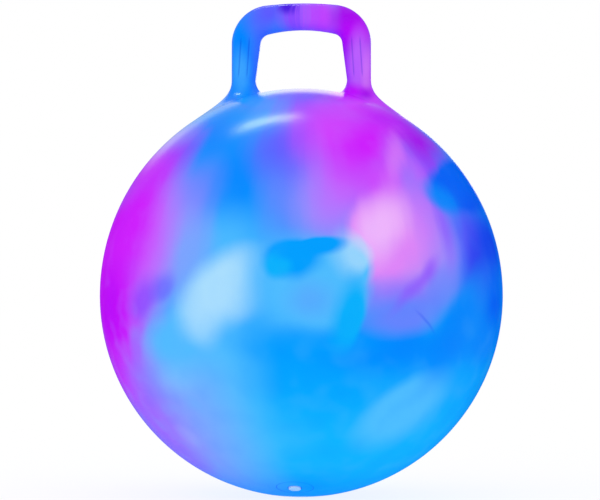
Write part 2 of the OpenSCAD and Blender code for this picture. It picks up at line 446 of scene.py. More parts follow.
def on_ball(rho, off):
    x = root_x() + rho * np.cos(TURNS)
    y = rho * np.sin(TURNS)
    return np.stack([x, y, ball_top(np.hypot(x, y), off)], 1)


def flare_ring(t, inset, r, out, off):
    """One ring of a foot, where t runs from 0 at the leg to 1 on the ball. In each direction the foot
    leaves the leg straight down and meets the ball along its slope."""
    rho0 = section_r(root_a() - inset, LOOP_B - inset)
    rho3 = outline_r(r, out)
    end = on_ball(rho3, off)
    normal = ball_normals(end)
    slope = -(normal[:, 0] * np.cos(TURNS) + normal[:, 1] * np.sin(TURNS)) / normal[:, 2]
    back = REACH_SHARE * (rho3 - rho0)
    shares = ((1 - t)**3, 3 * t * (1 - t)**2, 3 * t * t * (1 - t), t**3)
    rhos = (rho0, rho0, rho3 - back, rho3)
    heights = (ROOT_Z, ROOT_Z - DROP_SHARE * (ROOT_Z - end[:, 2]), end[:, 2] - back * slope, end[:, 2])
    rho = sum(share * value for share, value in zip(shares, rhos))
    z = sum(share * value for share, value in zip(shares, heights))
    return np.stack([root_x() + rho * np.cos(TURNS), rho * np.sin(TURNS), z], 1)


def half_loop(inset, r, out, off, flute):
    """Half of the loop's outside or hollow, from its foot up to the middle of the grip."""
    rings = [flare_ring(i / FLARE_STEPS, inset, r, out, off) for i in range(FLARE_STEPS, 0, -1)]
    for i in range(LEG_STEPS):
        z = ROOT_Z + (BEND_Z - ROOT_Z) * i / LEG_STEPS
        rings.append(leg_ring(z, inset, flute * float(smoothstep((z - ROOT_Z) / FLUTE_FADE))))
    for i in range(BEND_STEPS + 1):
        turn = math.pi / 2 * i / BEND_STEPS
        rings.append(bend_ring(turn, inset, flute * float(smoothstep(1 - turn / FLUTE_TURN))))
    rings += [bar_ring(BEND_X * i / BAR_STEPS, inset) for i in range(BAR_STEPS - 1, 0, -1)]
    return rings


def mirrored(rings):
    return [points * np.array([-1, 1, 1]) for points in rings]


def whole_loop(half, inset):
    return half + [bar_ring(0, inset)] + mirrored(half)[::-1]


def make_loop():
    outside = whole_loop(half_loop(0, FOOT_R, FOOT_OUT, -FOOT_SUNK, FLUTE_T), 0)
    hollow = whole_loop(half_loop(LOOP_WALL, PORT_R, PORT_OUT, -PAD_SUNK, 0), LOOP_WALL)
    rim = outline_r(FOOT_R, FOOT_OUT)
    port = outline_r(PORT_R, PORT_OUT)
    pad = [on_ball(rim + (port - rim) * k / PAD_STEPS, -PAD_SUNK) for k in range(PAD_STEPS)]
    rings = outside + mirrored(pad) + hollow[::-1] + pad[::-1]
    faces = []
    for k in range(len(rings)):
        low = k * LOOP_POINTS
        high = (k + 1) % len(rings) * LOOP_POINTS
        for i in range(LOOP_POINTS):
            j = (i + 1) % LOOP_POINTS
            faces.append((low + i, low + j, high + j, high + i))
    loop = piece_from("loop_handle", np.concatenate(rings), faces)
    tidy(loop)
    # The last stretch of each foot is shaded with the ball's own slope, so that no root line shows
    mesh = loop.data
    points = mesh_points(mesh)
    normals = np.zeros(len(mesh.vertices) * 3)
    mesh.vertices.foreach_get("normal", normals)
    normals = normals.reshape(-1, 3)
    above = points[:, 2] - ball_top(np.hypot(points[:, 0], points[:, 1]), 0)
    low_part = np.array([v.co.z < ROOT_Z for v in mesh.vertices])
    near = np.where(low_part, 1 - smoothstep((above - ROOT_NEAR) / ROOT_FADE), 0)[:, None]
    facing = (normals * ball_normals(points)).sum(1)[:, None] > 0
    mixed = np.where(facing, normals * (1 - near) + ball_normals(points) * near, normals)
    mixed /= np.linalg.norm(mixed, axis=1, keepdims=True)
    mesh.normals_split_custom_set_from_vertices(mixed.tolist())
    return loop


def dome(r, depth=0):
    """Height in the valve's frame of a skin that lies depth under the outside of the ball."""
    return math.sqrt((BALL_R - depth)**2 - r * r) - BALL_R


def dome_points(r0, r1, depth):
    """Corners along such a skin between two distances from the valve's axis."""
    radii = [r0 + (r1 - r0) * k / DOME_STEPS for k in range(1, DOME_STEPS)]
    return [(r, dome(r, depth), 0) for r in radii]


def make_seat():
    """The disc's face follows the ball, and its lap lies against the inside of the skin."""
    behind = SKIN_T + SEAT_GAP
    lap_r = SEAT_R + SEAT_LAP
    corners = [(BORE_R, -RECESS_T, LAP_FILLET), (RECESS_R, -RECESS_T, 0),
               (RECESS_R, dome(RECESS_R), RECESS_FILLET)]
    corners += dome_points(RECESS_R + RECESS_FILLET, SEAT_R - 2 * SEAT_FILLET, 0)
    corners += [(SEAT_R, dome(SEAT_R), SEAT_FILLET), (SEAT_R, dome(SEAT_R, behind), 0)]
    corners += [(lap_r, dome(lap_r, behind), LAP_FILLET), (lap_r, dome(lap_r, SEAT_T), LAP_FILLET)]
    corners += dome_points(lap_r, BARREL_R, SEAT_T)
    corners += [(BARREL_R, dome(BARREL_R, SEAT_T), 0), (BARREL_R, -BARREL_L, SEAT_FILLET),
                (BORE_R, -BARREL_L, SEAT_FILLET)]
    verts, faces = revolved(rounded(corners[::-1]), VALVE_SEGMENTS)
    seat = piece_from("valve_seat_disc", [VALVE @ Vector(v) for v in verts], faces)
    tidy(seat, REAL_EDGE)
    return seat


def make_plug():
    """The head sits on the floor of the recess. Its dimple helps a finger, and its rings seal the bore."""
    top = HEAD_T - RECESS_T
    low = -RECESS_T
    pitch = (STEM_L - RING_W) / (RINGS + 1)
    core_top = low - RING_W
    groove_r = STEM_R - RING_T
    corners = [(0, core_top, 0), (CORE_R, core_top, STEM_FILLET), (CORE_R, low - STEM_L, NOSE_FILLET),
               (NOSE_R, low - STEM_L, STEM_FILLET), (groove_r, low - STEM_L + pitch, STEM_FILLET)]
    for i in range(RINGS - 1, -1, -1):
        high = low - pitch * i
        corners += [(groove_r, high - RING_W, GROOVE_FILLET), (STEM_R, high - RING_W, STEM_FILLET)]
        corners += [(STEM_R, high, STEM_FILLET if i else 0)]
        if i:
            corners += [(groove_r, high, GROOVE_FILLET)]
    corners += [(HEAD_R, low, UNDER_FILLET), (HEAD_R, top, HEAD_FILLET),
                (DIMPLE_R + DIMPLE_SLOPE, top + DIMPLE_RISE, RIM_FILLET),
                (DIMPLE_R, top - DIMPLE_T, DIMPLE_FILLET), (0, top - DIMPLE_T, 0)]
    verts, faces = revolved(rounded(corners), VALVE_SEGMENTS)
    plug = piece_from("push_in_plug", [VALVE @ Vector(v) for v in verts], faces)
    tidy(plug, REAL_EDGE)
    return plug


# The vinyl's colours, as sRGB shares of 255
PALETTE = {
    "azure": (0, 160, 255),
    "deep_azure": (0, 138, 255),
    "blue": (0, 100, 250),
    "cobalt": (20, 62, 240),
    "cyan": (8, 178, 253),
    "sky": (80, 190, 255),
    "pale_sky": (172, 224, 254),
    "mist": (122, 168, 254),
    "periwinkle": (105, 135, 255),
    "blue_violet": (95, 92, 255),
    "indigo": (75, 25, 225),
    "violet": (145, 75, 255),
    "amethyst": (162, 110, 254),
    "purple": (170, 4, 238),
    "magenta": (209, 24, 254),
    "deep_magenta": (196, 0, 252),
    "fuchsia": (210, 64, 254),
    "orchid": (226, 135, 250),
    "pink": (241, 182, 254),
    "lilac": (196, 104, 255),
    "lavender": (155, 140, 255),
}

# Clouds of colour in the ball's skin, painted in this order over azure: colour, place of the middle in
# degrees round from the front and up from the widest line, half width, half height and tilt in degrees,
# softness of the lower and of the upper edge from 0 to 1, and strength where that isn't 1
BALL_CLOUDS = (
    # The back
    ("deep_azure", 172, 34, 28, 26, 0, 0.9, 0.9),
    ("lilac", 150, 22, 16, 32, 0, 0.8, 0.8),
    ("magenta", 134, 36, 16, 28, 0, 0.6, 0.6),
    ("orchid", 146, 6, 14, 10, -24, 0.8, 0.3),
    ("cobalt", 106, 6, 14, 24, 0, 0.9, 0.9),
    ("blue", 104, 34, 18, 14, 0, 0.9, 0.9),
    ("deep_azure", 118, -32, 22, 20, 0, 0.9, 0.9),
    ("sky", 158, -40, 28, 14, 24, 0.9, 0.4),
    ("blue_violet", -132, 14, 18, 34, 0, 0.9, 0.9),
    ("sky", -152, -14, 24, 22, 0, 0.8, 0.8),
    ("pale_sky", -160, -4, 14, 8, 34, 0.8, 0.4, 0.9),
    ("magenta", -106, 16, 20, 30, 8, 0.7, 0.7),
    ("violet", -104, -34, 24, 16, 0, 0.9, 0.9),
    ("purple", -170, 62, 20, 10, 0, 0.8, 0.8),
    # The lower half
    ("cyan", 12, -62, 62, 35, 0, 0.4, 0.4),
    ("deep_azure", 32, -14, 20, 6, 0, 0.8, 0.8, 0.9),
    ("sky", 39.5, -32.5, 14, 9, 42, 0.6, 0.25),
    ("sky", -22, -20, 12, 28, 0, 0.7, 0.7),
    ("sky", -8, -42, 10, 7, 0, 0.9, 0.9, 0.3),
    ("azure", -12, -67, 14, 7, 0, 0.9, 0.9, 0.8),
    ("mist", -34, -38, 12, 26, 0, 0.9, 0.9),
    ("pale_sky", -43, -42, 4, 4, 0, 0.6, 0.6, 0.3),
    ("pale_sky", -36, -21, 8, 5, 0, 0.9, 0.9, 0.3),
    # The left side
    ("deep_azure", -16, 33, 14, 14, 0, 0.9, 0.9),
    ("sky", -17, 13.5, 13, 8, 0, 1.0, 1.0, 0.8),
    ("periwinkle", -31, 28, 7, 10, 0, 0.9, 0.9, 0.9),
    ("lavender", -34, 15, 8, 12, 0, 0.9, 0.9),
    ("mist", -28, 12, 6, 8, 0, 0.9, 0.9, 0.8),
    ("deep_azure", -37, 48, 11, 9, 0, 0.9, 0.9),
    ("blue_violet", -47, 42, 6, 8, 0, 0.9, 0.9, 0.9),
    ("violet", -48, 37, 7, 9, 0, 0.9, 0.9, 0.9),
    ("lilac", -42, 14, 7, 18, 0, 0.8, 0.8),
    ("amethyst", -58, -34, 14, 24, 0, 0.8, 0.8),
    ("amethyst", -66, -52, 8, 7, 0, 0.9, 0.9, 0.6),
    ("lavender", -62, 50, 10, 5, 0, 0.9, 0.9, 0.8),
    ("fuchsia", -66, 38, 12, 8, 0, 0.9, 0.9, 0.9),
    ("magenta", -66, 8, 20, 27, 0, 0.5, 0.5),
    ("magenta", -54, 20, 10, 16, 0, 0.7, 0.7),
    ("magenta", -58, -6, 12, 10, 0, 0.7, 0.7, 0.9),
    ("magenta", -68, -20, 8, 10, 0, 0.8, 0.8, 0.7),
    ("deep_magenta", -62, -4, 12, 10, 0, 0.8, 0.8),
    ("violet", -43, -1, 6, 4, 36, 0.5, 0.9, 0.8),
    ("blue_violet", -35, 2, 4, 3, 40, 0.5, 0.9, 0.6),
    ("amethyst", -46, -14, 6, 6, 36, 0.9, 0.3, 0.8),
    ("mist", -38, -13, 9, 6, 36, 0.8, 0.3, 0.8),
    ("sky", -28, -12, 12, 8, 36, 0.9, 0.3, 0.9),
    ("pale_sky", -17.4, 1.8, 12, 7, 40, 0.7, 0.5),
    ("pale_sky", -12, -1, 6, 4, 10, 0.9, 0.9, 0.6),
    ("pale_sky", -22.6, -7.5, 4, 5, 20, 0.8, 0.7, 0.55),
    ("sky", -37, -12, 5, 4, 36, 0.8, 0.8, 0.7),
    # The top
    ("lavender", -4, 66, 8, 8, 0, 0.9, 0.9, 0.4),
    ("periwinkle", 1, 29, 6, 13, 0, 0.9, 0.9, 0.9),
    ("blue_violet", -2, 44, 7, 10, 0, 0.9, 0.9, 0.9),
    ("violet", 8, 54, 6, 19, 0, 0.9, 0.9, 0.9),
    ("lavender", 10, 23, 6, 9, 0, 0.9, 0.9, 0.9),
    ("lilac", 17, 30, 7, 12, 0, 0.9, 0.9, 0.9),
    ("fuchsia", 30, 30, 8, 9, 0, 0.8, 0.8, 0.9),
    ("fuchsia", 22, 49, 10, 14, 0, 0.8, 0.8),
    ("violet", 20, 78, 9, 9, 0, 0.9, 0.9, 0.9),
    ("fuchsia", 52, 62, 18, 9, 0, 0.7, 0.7),
    ("fuchsia", 84, 68, 10, 8, 0, 0.7, 0.7),
    ("magenta", 31, 45, 6, 12, -45, 0.8, 0.8),
    ("magenta", 46, 52, 9, 5, 0, 0.8, 0.8, 0.9),
    ("purple", 52, 72, 9, 5, 0, 0.8, 0.8, 0.9),
    # The right side
    ("violet", 53, 38, 9, 10, 0, 0.8, 0.8),
    ("purple", 60, 49, 7, 9, 0, 0.8, 0.8),
    ("purple", 66, 47, 9, 6, 0, 0.8, 0.8, 0.8),
    ("deep_magenta", 54, 57, 7, 6, 0, 0.9, 0.9, 0.8),
    ("fuchsia", 66, 64, 9, 5, 0, 0.9, 0.9, 0.8),
    ("lilac", 46, 36, 4, 7, 0, 0.9, 0.9, 0.6),
    ("fuchsia", 38.5, 40, 3.5, 13, -30, 0.9, 0.9, 0.7),
    ("orchid", 38.5, 39, 2.2, 10, -30, 0.9, 0.9, 0.5),
    ("lilac", 43, 20, 8, 13, 0, 0.8, 0.8, 0.8),
    ("blue_violet", 61, 14, 10, 12, 0, 0.8, 0.8),
    ("lavender", 48, 10, 5, 9, 0, 0.9, 0.9, 0.8),
    ("orchid", 30, 14, 13, 11.5, -90, 0.2, 0.7),
    ("pink", 28, 18, 9, 5, 56, 0.8, 0.8),
    ("amethyst", 32, 0, 10, 4, 0, 0.9, 0.9, 0.9),
    ("periwinkle", 33.5, -5.1, 11, 5.2, 7, 0.5, 0.7),
    ("periwinkle", 45, 2, 7, 5, 50, 0.8, 0.4, 0.5),
    ("blue", 56, 1, 5, 8, 0, 0.9, 0.9, 0.5),
    ("violet", 49, 18, 2.5, 8, 0, 0.9, 0.9, 0.5),
    ("violet", 36.6, 2.7, 7, 1.4, 46, 1.0, 1.0, 0.6),
    ("violet", 41, 6.5, 3, 2, 56, 0.9, 0.9, 0.5),
    ("blue_violet", 68, 40, 7, 4, 0, 0.9, 0.9, 0.6),
    ("blue", 71, 32, 20, 8, 8, 0.25, 0.2),
    ("deep_azure", 53, 27, 6, 4, -12, 0.5, 0.9, 0.9),
    ("cobalt", 74, 14, 12, 11, 0, 0.8, 0.8),
    ("cobalt", 62, 8, 5, 7, -20, 0.9, 0.9, 0.6),
    ("blue", 74, -4, 10, 10, 0, 0.9, 0.9),
    ("deep_azure", 54, -8, 15, 7, 55, 0.9, 0.4),
    ("deep_azure", 68, -13, 12, 6, 0, 0.9, 0.9, 0.9),
    # A faint cobalt hairline, the painted shade of a small crease in the skin
    ("cobalt", 40, -7.3, 3.5, 0.35, -44, 1.0, 1.0, 0.4),
    # The middle
    ("sky", 7, 1.8, 12, 15.7, -90, 0.6, 0.15),
    ("azure", 6, -13, 16, 4, 0, 0.8, 0.8, 0.8),
    ("sky", 18, 7.5, 6, 6, -90, 0.6, 0.2),
    ("pale_sky", 19.5, 11, 5, 5, -90, 0.9, 0.2, 0.7),
    ("azure", 2.8, 9.5, 7, 5, 4, 0.4, 0.2),
    ("azure", -1, 11, 3, 2.5, 0, 0.7, 0.7, 0.9),
    ("cyan", -1.5, 7.5, 3, 3, 0, 0.5, 0.5),
    ("azure", 7.6, 12.2, 9, 2.5, 13, 0.4, 0.2),
    ("cyan", 17.6, -5, 9, 4, -103, 0.7, 0.25),
    ("periwinkle", 7, -1, 5, 4, 0, 0.9, 0.9, 0.3),
)

# Clouds in the loop: colour, place of the middle and half sizes along X and Z in millimetres, measured
# from the middle plane and up from the crown, then tilt, the two softnesses and strength likewise
LOOP_CLOUDS = (
    # The left leg
    ("deep_azure", -72, 40, 32, 80, 0, 0.5, 0.5),
    ("blue_violet", -46, 34, 9, 62, 0, 0.9, 0.9, 0.4),
    ("sky", -67, 18, 8, 22, 0, 0.8, 0.8, 0.6),
    # The grip
    ("blue_violet", -34, 86, 22, 22, 0, 0.9, 0.9),
    ("violet", -6, 82, 14, 22, 0, 0.8, 0.8),
    ("violet", 16, 80, 22, 26, 0, 0.6, 0.6),
    ("lilac", 9, 78, 9, 20, 0, 0.9, 0.9, 0.5),
    ("fuchsia", 28, 78, 14, 24, 0, 0.9, 0.9, 0.8),
    ("indigo", -14, 91, 9, 7, 0, 0.8, 0.8),
    # The right leg and its foot
    ("fuchsia", 62, -16, 26, 8, 0, 0.8, 0.8),
    ("purple", 60, 44, 22, 62, 0, 0.4, 0.4),
    ("purple", 57, 80, 20, 22, 0, 0.6, 0.6),
    ("deep_magenta", 56, 62, 20, 12, 0, 0.9, 0.9, 0.7),
    ("lilac", 66, 26, 12, 34, 0, 0.6, 0.6, 0.9),
    ("orchid", 75, 16, 4, 22, 0, 0.8, 0.8, 0.5),
    ("deep_magenta", 57, -7, 18, 9, 0, 0.8, 0.8),
    ("purple", 75, -8, 7, 6, 0, 0.9, 0.9),
)

WHITE = (1, 1, 1, 1)

# A cloud's softness changes along its own Y between these shares of its half height
SOFT_TURN = 0.7

# How far a cloud in the loop reaches to the front and back, in ball radii
CLOUD_DEPTH = 0.4

# Streaks: their draw up and down, their scale, the heights between which they set in, how far they shift
# the clouds below and above those, and the least distance from the axis, in shares of the ball's radius
STREAK_DRAW = 0.16
STREAK_SCALE = 6
STREAK_HEIGHTS = (-0.3, 0.4)
STREAK_SHIFTS = (0.02, 0.12)
STREAK_AXIS = 0.02

# Warps that bend the clouds' edges: the scale of each one's noise, and its shift as a share of the radius
WARPS = ((2.4, 0.05), (9, 0.012))

# Mottles: their scale and detail, the heights between which their strength changes, that strength, how far
# the noise is off its middle where they are full, and the tint of their dark parts
MOTTLE_SCALE = 7
MOTTLE_DETAIL = 1.5
MOTTLE_HEIGHTS = (-0.5, 0.2)
MOTTLE_LEVELS = (0.16, 0.03)
MOTTLE_SPREAD = 0.25
MOTTLE_DARK = (150, 215, 250)

# Painted shade lines: the radius, half width and strength of those in the gaps round the valve, the
# strength of those down the flutes, and their tint
VALVE_SHADE_LINES = ((SEAT_R, 1 * MM, 0.5), (RECESS_R, 0.8 * MM, 0.8))
FLUTE_SHADE = 0.5
SHADE_LINE_TINT = (110, 150, 215)

# A noise: the detail of a finer one, its middle, and the part of it over which a roughness changes
FINE_DETAIL = 3
NOISE_MIDDLE = 0.5
NOISE_PART = (0.3, 0.7)

# Vinyl: the scale of the blotches in its roughness, the scale, strength and depth of the orange peel of its
# mould, its shine, and the strength of a painted glow in its own colour, which stands for light that comes
# through the skin from inside and evens out its shade
BLOTCH_SCALE = 18
VINYL_ROUGHNESS = (0.17, 0.23)
PEEL = (700, 0.25, 0.02 * MM)
VINYL_SPECULAR = 0.15
VINYL_TINT = (0.2, 0.6, 1, 1)
PAINTED_GLOW_SHARE = 0.15

# The plug's plastic: its clouds and their two colours, its roughness, its scuffs as above, and its shine
PLASTIC_SCALE = 260
PLASTIC_CLOUDED = (196, 236, 250)
PLASTIC_CLEAR = (240, 248, 252)
PLASTIC_ROUGHNESS = (0.3, 0.42)
SCUFFS = (2400, 0.2, 0.01 * MM)
PLASTIC_SPECULAR = 0.4

# The light: the world's on everything, a lamp at the left in front, and a disc under the ball
AMBIENT = 0.82
KEY_PLACE = (-1.2, -2.2, 1.9)
KEY_SIZE = 1.6
KEY_POWER = 3
TABLE_R = 0.3
TABLE_UP = 1 * MM
TABLE_POINTS = 96
TABLE_GLOW = 0.3

# The floor: half its width, how pale it is, and the share of its white that is its own
FLOOR_HALF = 60
FLOOR_ALBEDO = 0.97
FLOOR_OWN = 0.78

# The tent: its size, how far from the middle its side colours are full, and its linear colours
TENT_R = 3
TENT_UP = 2 * MM
TENT_STEPS = 24
TENT_SEGMENTS = 64
TENT_TURN_X = 0.5
TENT_LEFT = (0.28, 0.01, 0.6, 1)
TENT_MIDDLE = (0.02, 0.2, 0.6, 1)
TENT_RIGHT = (0, 0.1, 0.55, 1)

# The cards: the soft share of their width, and each one's stretch in degrees off the line to the camera and
# round that line from straight up, its strength, its distance from the ball's middle and its least share
CARD_EDGE = 0.3
CARD_STEPS = 24
MIRROR_CARDS = (
    ("strip_card", (104, 111), (-26, 3), 23, 2.0, None),
    ("left_rim_card", (138, 176), (-56, -8), 1.0, 1.9, 0.2),
    ("crown_card", (144, 179), (-34, 26), 2.2, 2.1, 0.18),
    ("right_rim_card", (160, 179), (18, 70), 2.0, 2.2, 0.3),
)


def linear(colour):
    """An sRGB colour of 0 to 255 as the linear colour that a shader takes."""
    shares = [c / 255 for c in colour]
    return (*[s / 12.92 if s <= 0.04045 else ((s + 0.055) / 1.055)**2.4 for s in shares], 1)


class Tree:
    """A short way to add linked nodes to a node tree."""

    def __init__(self, tree):
        self.tree = tree

    def add(self, kind, settings=None, **inputs):
        """A new node. Its inputs are given by name, or by number with an i in front."""
        node = self.tree.nodes.new("ShaderNode" + kind)
        for key, value in (settings or {}).items():
            setattr(node, key, value)
        for key, value in inputs.items():
            socket = node.inputs[int(key[1:]) if key[1:].isdigit() else key.replace("_", " ")]
            if isinstance(value, bpy.types.NodeSocket):
                self.tree.links.new(value, socket)
            else:
                socket.default_value = value
        return node

    def math(self, operation, a, b=0.0):
        return self.add("Math", {"operation": operation}, i0=a, i1=b).outputs[0]

    def vector(self, operation, output="Vector", **inputs):
        return self.add("VectorMath", {"operation": operation}, **inputs).outputs[output]

    def mix(self, factor, a, b, blend="MIX"):
        settings = {"data_type": "RGBA", "blend_type": blend}
        return self.add("Mix", settings, i0=factor, i6=a, i7=b).outputs[2]

    def ramp(self, value, low, high, start=0.0, end=1.0, kind="LINEAR"):
        """Runs from start, where the value is low, to end, where it is high."""
        return self.add("MapRange", {"interpolation_type": kind}, Value=value,
                        i1=low, i2=high, i3=start, i4=end).outputs[0]

    def smooth(self, value, low, high, start=0.0, end=1.0):
        return self.ramp(value, low, high, start, end, "SMOOTHSTEP")

    def place(self):
        return self.add("TexCoord").outputs["Object"]

    def noise(self, place, scale, detail=2.0, output="Fac"):
        return self.add("TexNoise", Vector=place, Scale=scale, Detail=detail).outputs[output]

    def parts(self, vector):
        return self.add("SeparateXYZ", Vector=vector).outputs

    def relief(self, place, scale, strength, depth):
        height = self.noise(place, scale)
        return self.add("Bump", Height=height, Strength=strength, Distance=depth).outputs[0]

    def glow(self, strength, colour=WHITE):
        return self.add("Emission", Color=colour, Strength=strength).outputs[0]

    def mixed(self, factor, a, b):
        return self.add("MixShader", i0=factor, i1=a, i2=b).outputs[0]

    def finish(self, shader, kind="Material"):
        output = self.add("Output" + kind)
        self.tree.links.new(shader, output.inputs["Surface"])


def new_group(name):
    """A node group that gives a colour."""
    group = bpy.data.node_groups.new(name, "ShaderNodeTree")
    group.interface.new_socket("Colour", in_out="OUTPUT", socket_type="NodeSocketColor")
    return Tree(group)


def finished_group(tree, colour):
    result = tree.tree.nodes.new("NodeGroupOutput")
    tree.tree.links.new(colour, result.inputs["Colour"])
    return tree.tree


def cloud_group():
    """A cloud of colour: a soft-edged ellipsoid in space, mixed over the colour under it. Its softness
    changes from its lower edge to its upper edge."""
    tree = new_group("cloud")
    sockets = (("Vector", "Vector"), ("Under", "Color"), ("Colour", "Color"), ("Place", "Vector"),
               ("Turn", "Vector"), ("Size", "Vector"), ("Low Softness", "Float"),
               ("High Softness", "Float"), ("Strength", "Float"))
    for name, kind in sockets:
        tree.tree.interface.new_socket(name, in_out="INPUT", socket_type="NodeSocket" + kind)
    given = tree.tree.nodes.new("NodeGroupInput").outputs
    # None of the colour under it is added to the place, only so that the clouds are worked out one after
    # the other: all at once they don't fit in the shader's memory
    place = tree.vector("MULTIPLY_ADD", i0=given["Under"], i1=(0, 0, 0), i2=given["Vector"])
    placed = tree.add("Mapping", {"vector_type": "TEXTURE"}, Vector=place, Location=given["Place"],
                      Rotation=given["Turn"], Scale=given["Size"]).outputs[0]
    reach = tree.vector("LENGTH", "Value", i0=placed)
    up = tree.vector("DOT_PRODUCT", "Value", i0=placed, i1=(0, 1, 0))
    softness = tree.ramp(up, -SOFT_TURN, SOFT_TURN, given["Low Softness"], given["High Softness"])
    inner = tree.math("SUBTRACT", 1.0, softness)
    outer = tree.math("ADD", 1.0, softness)
    fade = tree.smooth(reach, inner, outer, 1.0, 0.0)
    factor = tree.math("MULTIPLY", fade, given["Strength"])
    return finished_group(tree, tree.mix(factor, given["Under"], given["Colour"]))


def ball_cloud_frame(lon, lat, half_w, half_h, tilt):
    """Place, turn and size of a cloud on a ball of radius 1."""
    lon, lat, tilt = (math.radians(v) for v in (lon, lat, tilt))
    out = Vector((math.cos(lat) * math.sin(lon), -math.cos(lat) * math.cos(lon), math.sin(lat)))
    east = Vector((math.cos(lon), math.sin(lon), 0))
    north = out.cross(east)
    u = east * math.cos(tilt) + north * math.sin(tilt)
    v = north * math.cos(tilt) - east * math.sin(tilt)
    turn = Matrix((u, v, out)).transposed().to_euler("XYZ")
    return out, turn, (math.sin(math.radians(half_w)), math.sin(math.radians(half_h)), 1)


def loop_cloud_frame(x, z, half_w, half_h, tilt):
    """The same for a cloud in the loop, which runs through it from front to back."""
    place = Vector((x * MM, 0, CROWN_Z - BALL_Z + z * MM)) / BALL_R
    turn = Matrix.Rotation(-math.radians(tilt), 3, "Y").to_euler("XYZ")
    return place, turn, (half_w * MM / BALL_R, CLOUD_DEPTH, half_h * MM / BALL_R)


def add_streaks(tree, place):
    """Shifts places sideways round the ball by a noise that is drawn out up and down, as the vinyl runs in
    its mould."""
    parts = tree.parts(place)
    squares = [tree.math("POWER", parts[i], 2.0) for i in (0, 1)]
    r = tree.math("MAXIMUM", tree.math("SQRT", tree.math("ADD", *squares)), STREAK_AXIS)
    x = tree.math("DIVIDE", parts[0], r)
    y = tree.math("DIVIDE", parts[1], r)
    drawn = tree.add("CombineXYZ", X=x, Y=y, Z=tree.math("MULTIPLY", parts[2], STREAK_DRAW))
    noise = tree.noise(drawn.outputs[0], STREAK_SCALE, FINE_DETAIL)
    mask = tree.smooth(parts[2], *STREAK_HEIGHTS, *STREAK_SHIFTS)
    shift = tree.math("MULTIPLY", tree.math("SUBTRACT", noise, NOISE_MIDDLE), mask)
    away = tree.add("CombineXYZ", X=tree.math("MULTIPLY", y, -1.0), Y=x, Z=0.0).outputs[0]
    return tree.vector("ADD", i0=place, i1=tree.vector("SCALE", i0=away, Scale=shift))


def add_warps(tree, place, warped):
    """Shifts warped places by noises, which are read at the places themselves."""
    for scale, amount in WARPS:
        noise = tree.noise(place, scale, output="Color")
        offset = tree.vector("SUBTRACT", i0=noise, i1=(NOISE_MIDDLE, NOISE_MIDDLE, NOISE_MIDDLE))
        warped = tree.vector("ADD", i0=warped, i1=tree.vector("SCALE", i0=offset, Scale=amount))
    return warped


def add_mottles(tree, place, colour):
    """Faint watery mottles, stronger low on the ball."""
    noise = tree.noise(place, MOTTLE_SCALE, MOTTLE_DETAIL)
    most = tree.ramp(tree.parts(place)[2], *MOTTLE_HEIGHTS, *MOTTLE_LEVELS)
    light = tree.ramp(noise, NOISE_MIDDLE, NOISE_MIDDLE + MOTTLE_SPREAD)
    dark = tree.ramp(noise, NOISE_MIDDLE, NOISE_MIDDLE - MOTTLE_SPREAD)
    colour = tree.mix(tree.math("MULTIPLY", light, most), colour, linear(PALETTE["sky"]))
    return tree.mix(tree.math("MULTIPLY", dark, most), colour, linear(MOTTLE_DARK), "MULTIPLY")


def add_valve_shade(tree, place, colour):
    """Painted shade: darker hairlines in the gaps round the valve's seat and its recess."""
    middle = (VALVE.translation - BALL_MIDDLE) / BALL_R
    off = tree.vector("DISTANCE", "Value", i0=place, i1=middle)
    for r, half, strength in VALVE_SHADE_LINES:
        away = tree.math("ABSOLUTE", tree.math("SUBTRACT", off, r / BALL_R))
        near = tree.smooth(away, 0.0, half / BALL_R, strength, 0.0)
        colour = tree.mix(near, colour, linear(SHADE_LINE_TINT), "MULTIPLY")
    return colour


def add_flute_shade(tree, colour):
    """Painted shade: darker hairlines down the two flutes of each leg."""
    parts = tree.parts(tree.place())
    lean = (leg_in(BEND_Z) - leg_in(ROOT_Z)) / (BEND_Z - ROOT_Z) / 2
    rise = tree.math("SUBTRACT", parts[2], ROOT_Z)
    middle = tree.math("ADD", tree.math("MULTIPLY", rise, lean), root_x())
    across = tree.math("ABSOLUTE", tree.math("SUBTRACT", tree.math("ABSOLUTE", parts[0]), middle))
    away = tree.math("ABSOLUTE", tree.math("SUBTRACT", across, FLUTE_X))
    line = tree.smooth(away, 0.0, FLUTE_W / 2, FLUTE_SHADE, 0.0)
    low = tree.smooth(parts[2], ROOT_Z, ROOT_Z + FLUTE_FADE)
    high = tree.smooth(parts[2], BEND_Z, BEND_Z + FLUTE_FADE, 1.0, 0.0)
    factor = tree.math("MULTIPLY", tree.math("MULTIPLY", line, low), high)
    return tree.mix(factor, colour, linear(SHADE_LINE_TINT), "MULTIPLY")


def marbling_group():
    """The colour of the vinyl at every point of the object, with painted shade round the valve."""
    tree = new_group("marbling")
    cloud = cloud_group()
    centred = tree.vector("SUBTRACT", i0=tree.place(), i1=BALL_MIDDLE)
    unit = tree.vector("SCALE", i0=centred, Scale=1 / BALL_R)
    warped = add_warps(tree, unit, add_streaks(tree, unit))
    colour = linear(PALETTE["azure"])
    rows = [(ball_cloud_frame, *row) for row in BALL_CLOUDS]
    rows += [(loop_cloud_frame, *row) for row in LOOP_CLOUDS]
    for frame_of, name, x, y, half_w, half_h, tilt, low, high, *strength in rows:
        middle, turn, size = frame_of(x, y, half_w, half_h, tilt)
        node = tree.add("Group", {"node_tree": cloud}, Vector=warped, Under=colour, Place=middle, Turn=turn,
                        Size=size, Colour=linear(PALETTE[name]), Low_Softness=low, High_Softness=high,
                        Strength=strength[0] if strength else 1.0)
        colour = node.outputs["Colour"]
    colour = add_mottles(tree, unit, colour)
    return finished_group(tree, add_valve_shade(tree, unit, colour))


def new_material(name):
    material = bpy.data.materials.new(name)
    material.use_nodes = True
    material.node_tree.nodes.clear()
    return material, Tree(material.node_tree)


